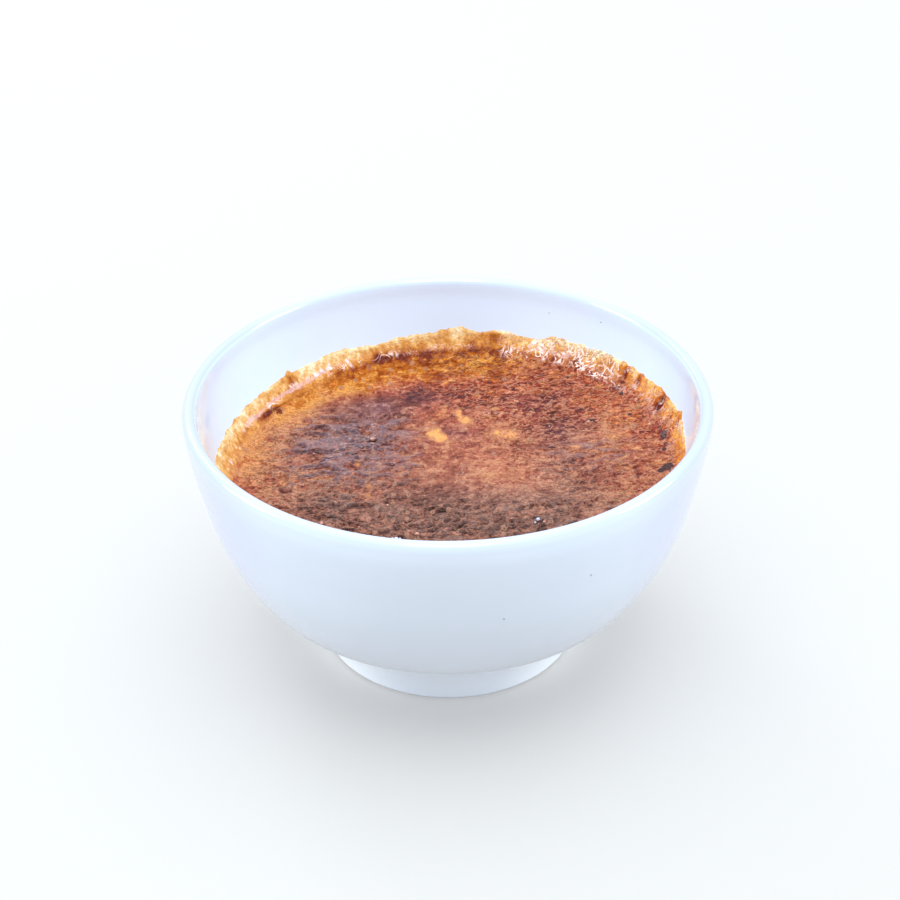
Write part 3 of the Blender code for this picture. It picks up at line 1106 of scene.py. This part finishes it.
def porcelain_finish():
    f = Finish("glazed_porcelain")
    cloud = f.noise(18 * MM, 2.0)
    glaze = f.mix(cloud, (0.625, 0.662, 0.745, 1), (0.655, 0.688, 0.765, 1))
    along = f.node("ShaderNodeSeparateXYZ", {0: f.place}).outputs
    glaze = f.tinted(glaze, f.ramp(f.math("DIVIDE", along["Z"], BOWL_HEIGHT), GLAZE_PAINTED_SHADES))
    directions = {0: f.place, 1: f.node("ShaderNodeNewGeometry").outputs["Normal"]}
    outward = f.node("ShaderNodeVectorMath", directions, operation="DOT_PRODUCT").outputs["Value"]
    inside = f.step(outward, 0.0, -10 * MM)
    aside = f.math("ABSOLUTE", along["X"])
    # Painted light: the inside of the wall is brighter and bluer towards the left and right
    painted_inner_light = f.math("MULTIPLY", inside, f.step(aside, 30 * MM, 52 * MM))
    glaze = f.mix(painted_inner_light, glaze, f.tinted(glaze, (1.05, 1.12, 1.15, 1)))
    # Painted shade: the outside of the wall is darker towards the left and right. A shift by more than the
    # bowl's radius keeps the inside out of the flanks
    outside = f.math("SUBTRACT", aside, f.math("MULTIPLY", inside, 100 * MM))
    painted_flank_shade = f.step(outside, 34 * MM, 50 * MM)
    glaze = f.mix(painted_flank_shade, glaze, f.tinted(glaze, (0.89, 0.87, 0.97, 1)))
    # Painted light and shade on the foot: darker in the middle, brighter towards its sides
    foot = f.mix(f.step(aside, 9 * MM, 24 * MM), (0.84, 0.87, 0.95, 1), (0.98, 0.98, 1.0, 1))
    is_foot = f.step(along["Z"], FOOT_TOP_HEIGHT, FOOT_TOP_HEIGHT - 1 * MM)
    f.set(Base_Color=f.mix(is_foot, glaze, foot))
    f.set(Roughness=f.step(f.noise(6 * MM, 2.0), 0.2, 0.8, 0.10, 0.16))
    f.set(Coat_Weight=0.5, Coat_Roughness=0.04)
    f.set(Normal=f.bump(f.noise(3 * MM, 2.0), 0.01 * MM))
    return f.material


def floor_finish():
    f = Finish("pale_floor")
    f.set(Base_Color=f.mix(f.noise(0.2, 2.0), (0.98, 0.93, 0.88, 1), (0.99, 0.94, 0.89, 1)))
    f.set(Roughness=0.8)
    return f.material


# ---------------------------------------------------------------- stage

FLOOR_REACH = 3


def make_floor():
    low, high = -FLOOR_REACH, FLOOR_REACH
    mesh = bpy.data.meshes.new("floor")
    mesh.from_pydata([(low, low, 0), (high, low, 0), (high, high, 0), (low, high, 0)], [], [(0, 1, 2, 3)])
    floor = link(bpy.data.objects.new("floor", mesh))
    mesh.materials.append(floor_finish())
    return floor


DAYLIGHT = (0.86, 0.94, 1.0)
SKYLIGHT = (0.70, 0.87, 1.0)

CAMERA_ELEVATION = math.radians(34.02)
CAMERA_DISTANCE = 7.5 * RIM_RADIUS
CAMERA_ROLL = math.radians(-0.545)
CAMERA_LENS = 76.4
SENSOR_WIDTH = 36
AIM_RISE = 13.8 * MM
AIM_SIDE = 0.43 * MM


def make_camera():
    back = Vector((0, -math.cos(CAMERA_ELEVATION), math.sin(CAMERA_ELEVATION)))
    right = Vector((1, 0, 0))
    up = back.cross(right)
    centre = Vector((0, 0, BOWL_HEIGHT / 2))
    place = centre + back * CAMERA_DISTANCE
    aim = centre + up * AIM_RISE + right * AIM_SIDE
    data = bpy.data.cameras.new("camera")
    data.lens = CAMERA_LENS
    data.sensor_width = SENSOR_WIDTH
    data.clip_start = 10 * MM
    camera = link(bpy.data.objects.new("camera", data))
    turn = (aim - place).to_track_quat("-Z", "Y").to_matrix().to_4x4()
    camera.matrix_world = Matrix.Translation(place) @ turn @ Matrix.Rotation(CAMERA_ROLL, 4, "Z")
    bpy.context.scene.camera = camera


def area_light(name, place, size, power, colour=DAYLIGHT, only_on=None):
    """A square soft light that points at the bowl. It may light only some of the objects."""
    data = bpy.data.lights.new(name, "AREA")
    data.shape = "SQUARE"
    data.size = size
    data.energy = power
    data.color = colour
    light = link(bpy.data.objects.new(name, data))
    light.location = place
    aim = Vector((0, 0, BOWL_HEIGHT)) - light.location
    light.rotation_euler = aim.to_track_quat("-Z", "Y").to_euler()
    light.light_linking.receiver_collection = only_on


def group(name, *objects):
    """A collection that lights can be limited to."""
    collection = bpy.data.collections.new(name)
    for obj in objects:
        collection.objects.link(obj)
    return collection


def make_light(dessert, ground):
    world = bpy.data.worlds.new("studio")
    world.use_nodes = True
    background = world.node_tree.nodes["Background"]
    background.inputs["Color"].default_value = (*DAYLIGHT, 1)
    background.inputs["Strength"].default_value = 1.0
    bpy.context.scene.world = world
    bpy.context.scene.view_settings.view_transform = "Standard"
    area_light("key", (0.0, -0.4, 1.15), 0.4, 14, SKYLIGHT, dessert)
    area_light("left", (-0.8, 0.0, 0.5), 0.35, 5.2, SKYLIGHT, dessert)
    area_light("right", (0.8, 0.0, 0.5), 0.35, 5.2, SKYLIGHT, dessert)
    area_light("window", (-0.5, 0.9, 0.75), 0.4, 1.0)
    area_light("ground_glow", (0.0, 0.0, 1.6), 1.6, 4, DAYLIGHT, ground)


bowl = make_bowl()
bowl.data.materials.append(porcelain_finish())
custard = make_custard()
custard.data.materials.append(custard_finish())
bubbles = make_bubbles()
bubbles.data.materials.append(bubble_finish())
grains = make_grains()
grains.data.materials.append(grain_finish())
specks = make_specks()
specks.data.materials.append(speck_finish())
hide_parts("bowl")
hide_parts("custard")
piece_nodes = (
    (bowl, "bowl"),
    (custard, "custard"),
    (bubbles, "custard"),
    (grains, "custard"),
    (specks, "bowl"),
)
for piece, node in piece_nodes:
    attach(piece, "root")
floor = make_floor()
make_camera()
make_light(group("dessert", bowl, custard, bubbles, grains, specks), group("ground", floor))
